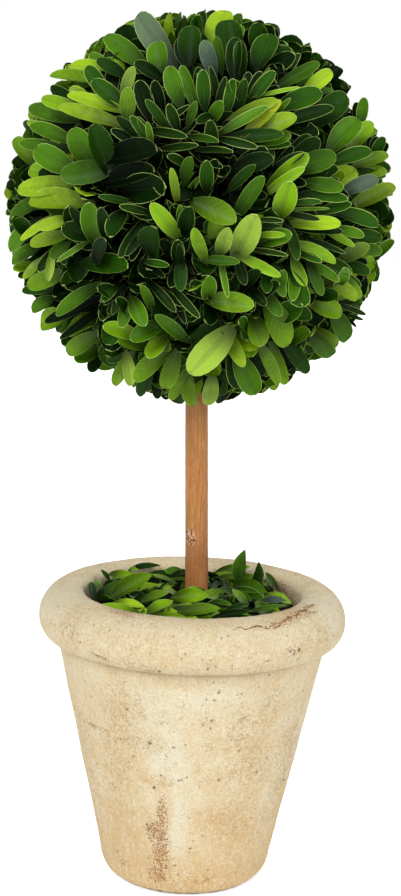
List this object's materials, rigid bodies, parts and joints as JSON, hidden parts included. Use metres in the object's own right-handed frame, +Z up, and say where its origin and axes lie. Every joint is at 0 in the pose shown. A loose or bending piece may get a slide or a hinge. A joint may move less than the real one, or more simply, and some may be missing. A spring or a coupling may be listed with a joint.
{
  "type": "preserved box topiary ball on a stick in a pot",
  "caption": "Table-top topiary: a clipped ball of box leaves on a bare wooden stick, standing in a tapered cast pot with a thick rolled rim and loose leaves on top.",
  "frame": {"origin": "middle of the pot's flat underside, where the part stands", "axes": "+Z up through the pot's axis; +Y away from the front that the picture shows; +X to the right"},
  "size_m": [0.1759, 0.1774, 0.4035],
  "materials": {
    "cast_stone": "matt, pitted and stained cast stone, cream to buff",
    "fill_moss": "dark dry moss over a block of fill",
    "stick_wood": "smooth cinnamon-brown wood with a satin sheen",
    "loose_leaf": "smooth preserved leaves, dark to yellow-green",
    "box_leaf": "smooth satin preserved leaves, dark to yellow-green"
  },
  "bodies": {
    "root": {"pot": "cast_stone", "pot_fill": "fill_moss", "stick_trunk": "stick_wood", "loose_leaves": "loose_leaf", "ball_foliage": "box_leaf"}
  },
  "joints": []
}
